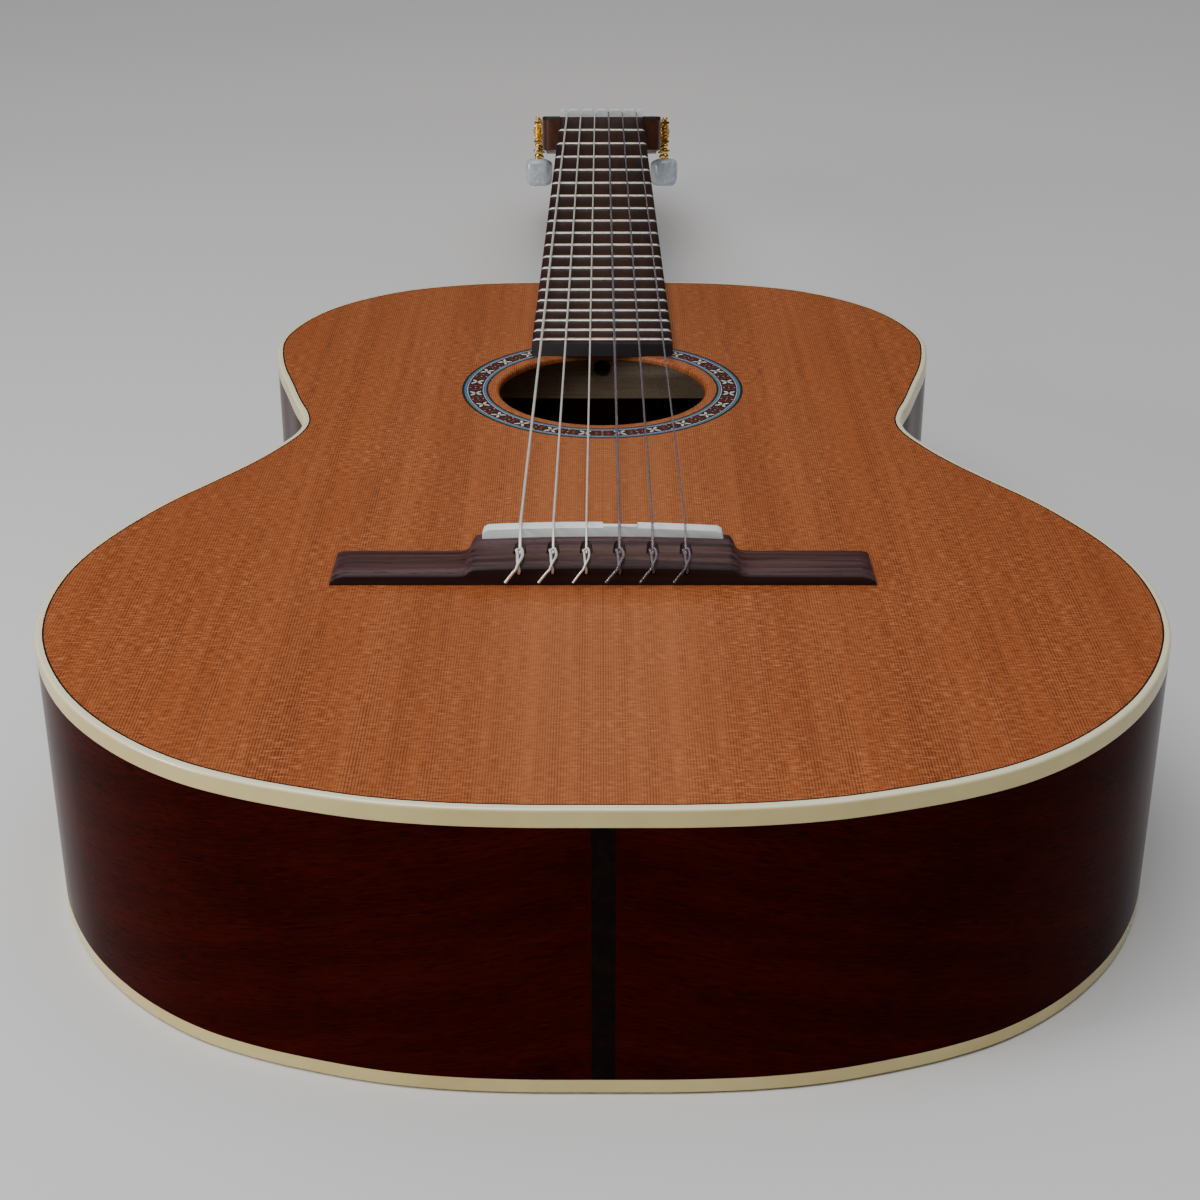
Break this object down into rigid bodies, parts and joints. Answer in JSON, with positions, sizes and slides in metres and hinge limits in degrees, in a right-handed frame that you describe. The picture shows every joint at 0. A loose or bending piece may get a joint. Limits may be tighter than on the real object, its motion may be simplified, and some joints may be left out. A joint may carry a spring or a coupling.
{
  "type": "classical guitar",
  "caption": "Full-size classical guitar with a round sound hole, wide flat fingerboard, tie bridge and slotted head with side tuning machines.",
  "frame": {"origin": "on the flat outer face of the back, on the centre line, straight below the saddle", "axes": "+Y along the neck towards the head, +Z from the back to the soundboard, +X to the treble side"},
  "size_m": [0.3742, 1.0084, 0.1129],
  "materials": {
    "cedar": "satin",
    "body_mahogany": "gloss",
    "binding": "gloss",
    "rosewood": "satin",
    "mosaic": "satin",
    "neck_mahogany": "satin",
    "bone": "gloss",
    "spruce": "matte",
    "fret_nickel": "polished",
    "wound_string": "satin",
    "nylon_string": "gloss",
    "tuner_gold": "polished",
    "roller_gold": "polished",
    "peg_gold": "polished"
  },
  "bodies": {
    "guitar": {"soundboard": "cedar", "back_plate": "body_mahogany", "side_bass": "body_mahogany", "side_treble": "body_mahogany", "top_binding": "binding", "back_binding": "binding", "end_strip": "rosewood", "fingerboard": "rosewood", "bridge": "rosewood", "head_veneer": "rosewood", "heel_cap": "rosewood", "rosette": "mosaic", "neck": "neck_mahogany", "neck_block": "neck_mahogany", "tail_block": "neck_mahogany", "nut": "bone", "saddle": "bone", "top_bracing": "spruce", "back_bracing": "spruce", "top_lining": "spruce", "back_lining": "spruce", "fret_01": "fret_nickel", "fret_02": "fret_nickel", "fret_03": "fret_nickel", "fret_04": "fret_nickel", "fret_05": "fret_nickel", "fret_06": "fret_nickel", "fret_07": "fret_nickel", "fret_08": "fret_nickel", "fret_09": "fret_nickel", "fret_10": "fret_nickel", "fret_11": "fret_nickel", "fret_12": "fret_nickel", "fret_13": "fret_nickel", "fret_14": "fret_nickel", "fret_15": "fret_nickel", "fret_16": "fret_nickel", "fret_17": "fret_nickel", "fret_18": "fret_nickel", "fret_19": "fret_nickel", "string_e6": "wound_string", "string_a5": "wound_string", "string_d4": "wound_string", "string_g3": "nylon_string", "string_b2": "nylon_string", "string_e1": "nylon_string", "plate_bass": "tuner_gold", "plate_treble": "tuner_gold"},
    "peg_bass_1": {"peg_bass_1": "peg_gold"},
    "roller_bass_1": {"roller_bass_1": "roller_gold"},
    "peg_bass_2": {"peg_bass_2": "peg_gold"},
    "roller_bass_2": {"roller_bass_2": "roller_gold"},
    "peg_bass_3": {"peg_bass_3": "peg_gold"},
    "roller_bass_3": {"roller_bass_3": "roller_gold"},
    "peg_treble_1": {"peg_treble_1": "peg_gold"},
    "roller_treble_1": {"roller_treble_1": "roller_gold"},
    "peg_treble_2": {"peg_treble_2": "peg_gold"},
    "roller_treble_2": {"roller_treble_2": "roller_gold"},
    "peg_treble_3": {"peg_treble_3": "peg_gold"},
    "roller_treble_3": {"roller_treble_3": "roller_gold"}
  },
  "joints": [
    {"name": "turn_peg_bass_1", "type": "hinge", "parent": "guitar", "child": "peg_bass_1", "pos_m": [-0.041, 0.68574, 0.0871], "axis": [0, 0.2504, 0.9681], "continuous": true},
    {"name": "turn_roller_bass_1", "type": "hinge", "parent": "guitar", "child": "roller_bass_1", "pos_m": [-0.041, 0.69252, 0.08535], "axis": [1, 0, 0], "continuous": true},
    {"name": "turn_peg_bass_2", "type": "hinge", "parent": "guitar", "child": "peg_bass_2", "pos_m": [-0.041, 0.71963, 0.07834], "axis": [0, 0.2504, 0.9681], "continuous": true},
    {"name": "turn_roller_bass_2", "type": "hinge", "parent": "guitar", "child": "roller_bass_2", "pos_m": [-0.041, 0.72641, 0.07658], "axis": [1, 0, 0], "continuous": true},
    {"name": "turn_peg_bass_3", "type": "hinge", "parent": "guitar", "child": "peg_bass_3", "pos_m": [-0.041, 0.75351, 0.06957], "axis": [0, 0.2504, 0.9681], "continuous": true},
    {"name": "turn_roller_bass_3", "type": "hinge", "parent": "guitar", "child": "roller_bass_3", "pos_m": [-0.041, 0.76029, 0.06782], "axis": [1, 0, 0], "continuous": true},
    {"name": "turn_peg_treble_1", "type": "hinge", "parent": "guitar", "child": "peg_treble_1", "pos_m": [0.041, 0.68574, 0.0871], "axis": [0, 0.2504, 0.9681], "continuous": true},
    {"name": "turn_roller_treble_1", "type": "hinge", "parent": "guitar", "child": "roller_treble_1", "pos_m": [0.041, 0.69252, 0.08535], "axis": [1, 0, 0], "continuous": true},
    {"name": "turn_peg_treble_2", "type": "hinge", "parent": "guitar", "child": "peg_treble_2", "pos_m": [0.041, 0.71963, 0.07834], "axis": [0, 0.2504, 0.9681], "continuous": true},
    {"name": "turn_roller_treble_2", "type": "hinge", "parent": "guitar", "child": "roller_treble_2", "pos_m": [0.041, 0.72641, 0.07658], "axis": [1, 0, 0], "continuous": true},
    {"name": "turn_peg_treble_3", "type": "hinge", "parent": "guitar", "child": "peg_treble_3", "pos_m": [0.041, 0.75351, 0.06957], "axis": [0, 0.2504, 0.9681], "continuous": true},
    {"name": "turn_roller_treble_3", "type": "hinge", "parent": "guitar", "child": "roller_treble_3", "pos_m": [0.041, 0.76029, 0.06782], "axis": [1, 0, 0], "continuous": true}
  ],
  "couplings": [
    {"joint": "turn_roller_bass_1", "follows": "turn_peg_bass_1", "ratio": 0.071429},
    {"joint": "turn_roller_bass_2", "follows": "turn_peg_bass_2", "ratio": 0.071429},
    {"joint": "turn_roller_bass_3", "follows": "turn_peg_bass_3", "ratio": 0.071429},
    {"joint": "turn_roller_treble_1", "follows": "turn_peg_treble_1", "ratio": 0.071429},
    {"joint": "turn_roller_treble_2", "follows": "turn_peg_treble_2", "ratio": 0.071429},
    {"joint": "turn_roller_treble_3", "follows": "turn_peg_treble_3", "ratio": 0.071429}
  ]
}
